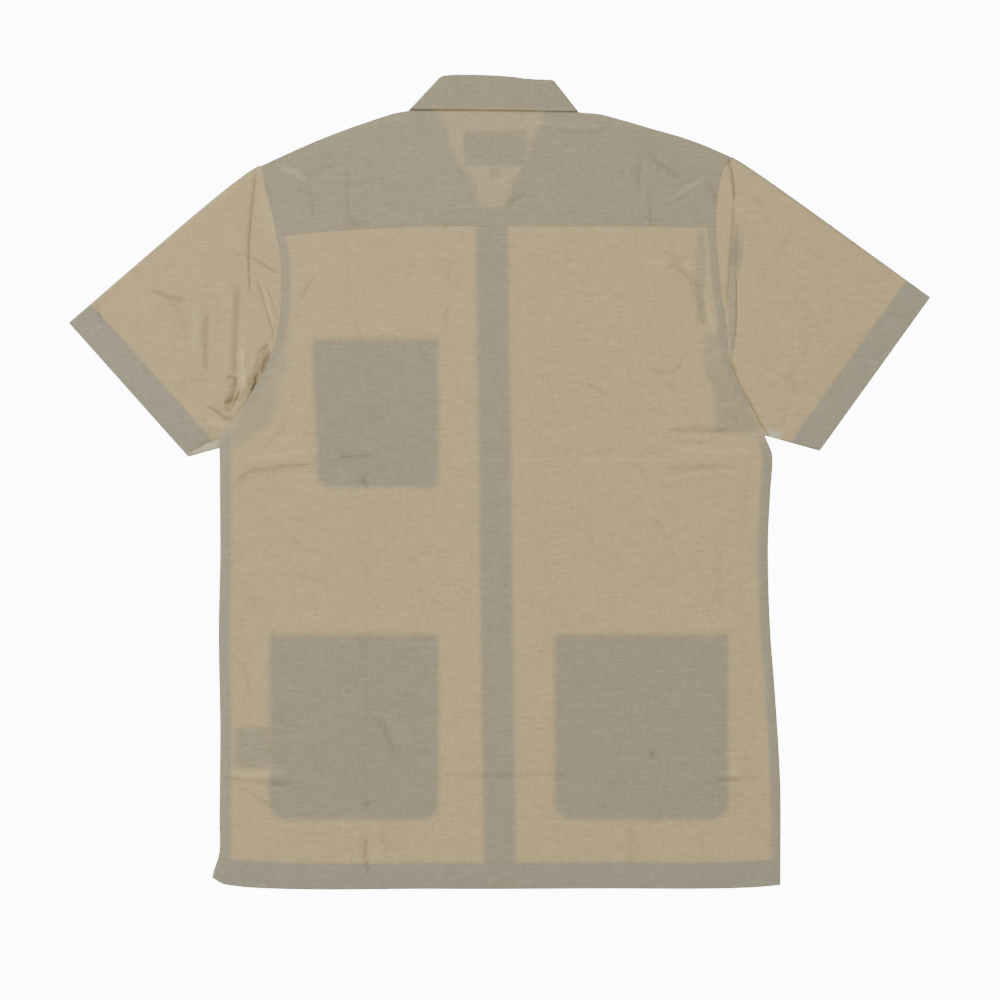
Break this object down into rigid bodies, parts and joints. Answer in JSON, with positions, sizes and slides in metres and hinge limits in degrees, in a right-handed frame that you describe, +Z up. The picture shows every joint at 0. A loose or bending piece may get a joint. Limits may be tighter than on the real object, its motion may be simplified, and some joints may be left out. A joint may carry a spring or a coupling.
{
  "type": "short-sleeve shirt",
  "caption": "Short-sleeve cotton shirt with a camp collar and patch pockets, laid flat face down with its back uppermost.",
  "frame": {"origin": "centre of the bounding box's underside, on the surface that the shirt lies on", "axes": "+Z up, from the fronts to the back; +Y from the hem to the collar; +X across, from the wearer's left to the wearer's right"},
  "size_m": [0.8284, 0.7829, 0.0076],
  "materials": {
    "shirt_cloth": "thin plain-weave cotton, tan where two layers lie together, slightly slubbed and matt",
    "doubled_cloth": "the same cotton in more layers, so greyer and less lit through",
    "label_cloth": "plain woven label, blank",
    "button": "satin, brown, four sewing holes"
  },
  "bodies": {
    "root": {"back_panel": "shirt_cloth", "front_left": "shirt_cloth", "front_right": "shirt_cloth", "sleeve_left": "shirt_cloth", "sleeve_right": "shirt_cloth", "yoke_inner": "shirt_cloth", "yoke_outer": "doubled_cloth", "collar": "doubled_cloth", "lapel_left": "doubled_cloth", "lapel_right": "doubled_cloth", "chest_pocket": "doubled_cloth", "pocket_left": "doubled_cloth", "pocket_right": "doubled_cloth", "neck_label": "label_cloth", "size_tab": "label_cloth", "care_label": "label_cloth", "button_1": "button", "button_2": "button", "button_3": "button", "button_4": "button", "button_5": "button", "button_6": "button"}
  },
  "joints": []
}
